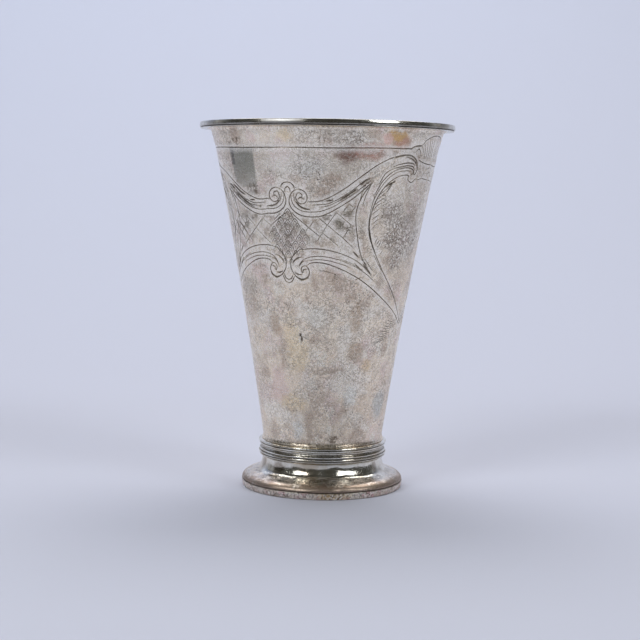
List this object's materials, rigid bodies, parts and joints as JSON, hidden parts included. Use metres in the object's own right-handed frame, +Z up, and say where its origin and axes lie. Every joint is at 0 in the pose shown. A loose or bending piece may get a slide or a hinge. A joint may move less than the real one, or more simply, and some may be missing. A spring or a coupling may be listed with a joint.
{
  "type": "footed silver beaker",
  "caption": "Tapering footed beaker with a wired rim, beaded collar, domed foot and engraved scroll and trellis ornament.",
  "frame": {"origin": "middle of the underside of the foot, where the beaker stands", "axes": "+Z up along the axis of the cup; the side in the reference view faces -Y"},
  "size_m": [0.1042, 0.1042, 0.15],
  "materials": {
    "engraved_silver": "raised silver, worn satin with fine pits and warm tarnish, engraved lines darkened",
    "polished_silver": "polished silver wire, bright, darker in its line",
    "turned_silver": "polished silver with brown tarnish low on the dome and in the reeds",
    "base_wire_silver": "dull silver, stained brown and pink"
  },
  "bodies": {
    "root": {"cup_body": "engraved_silver", "rim_wire": "polished_silver", "foot": "turned_silver", "foot_wire": "base_wire_silver"}
  },
  "joints": []
}
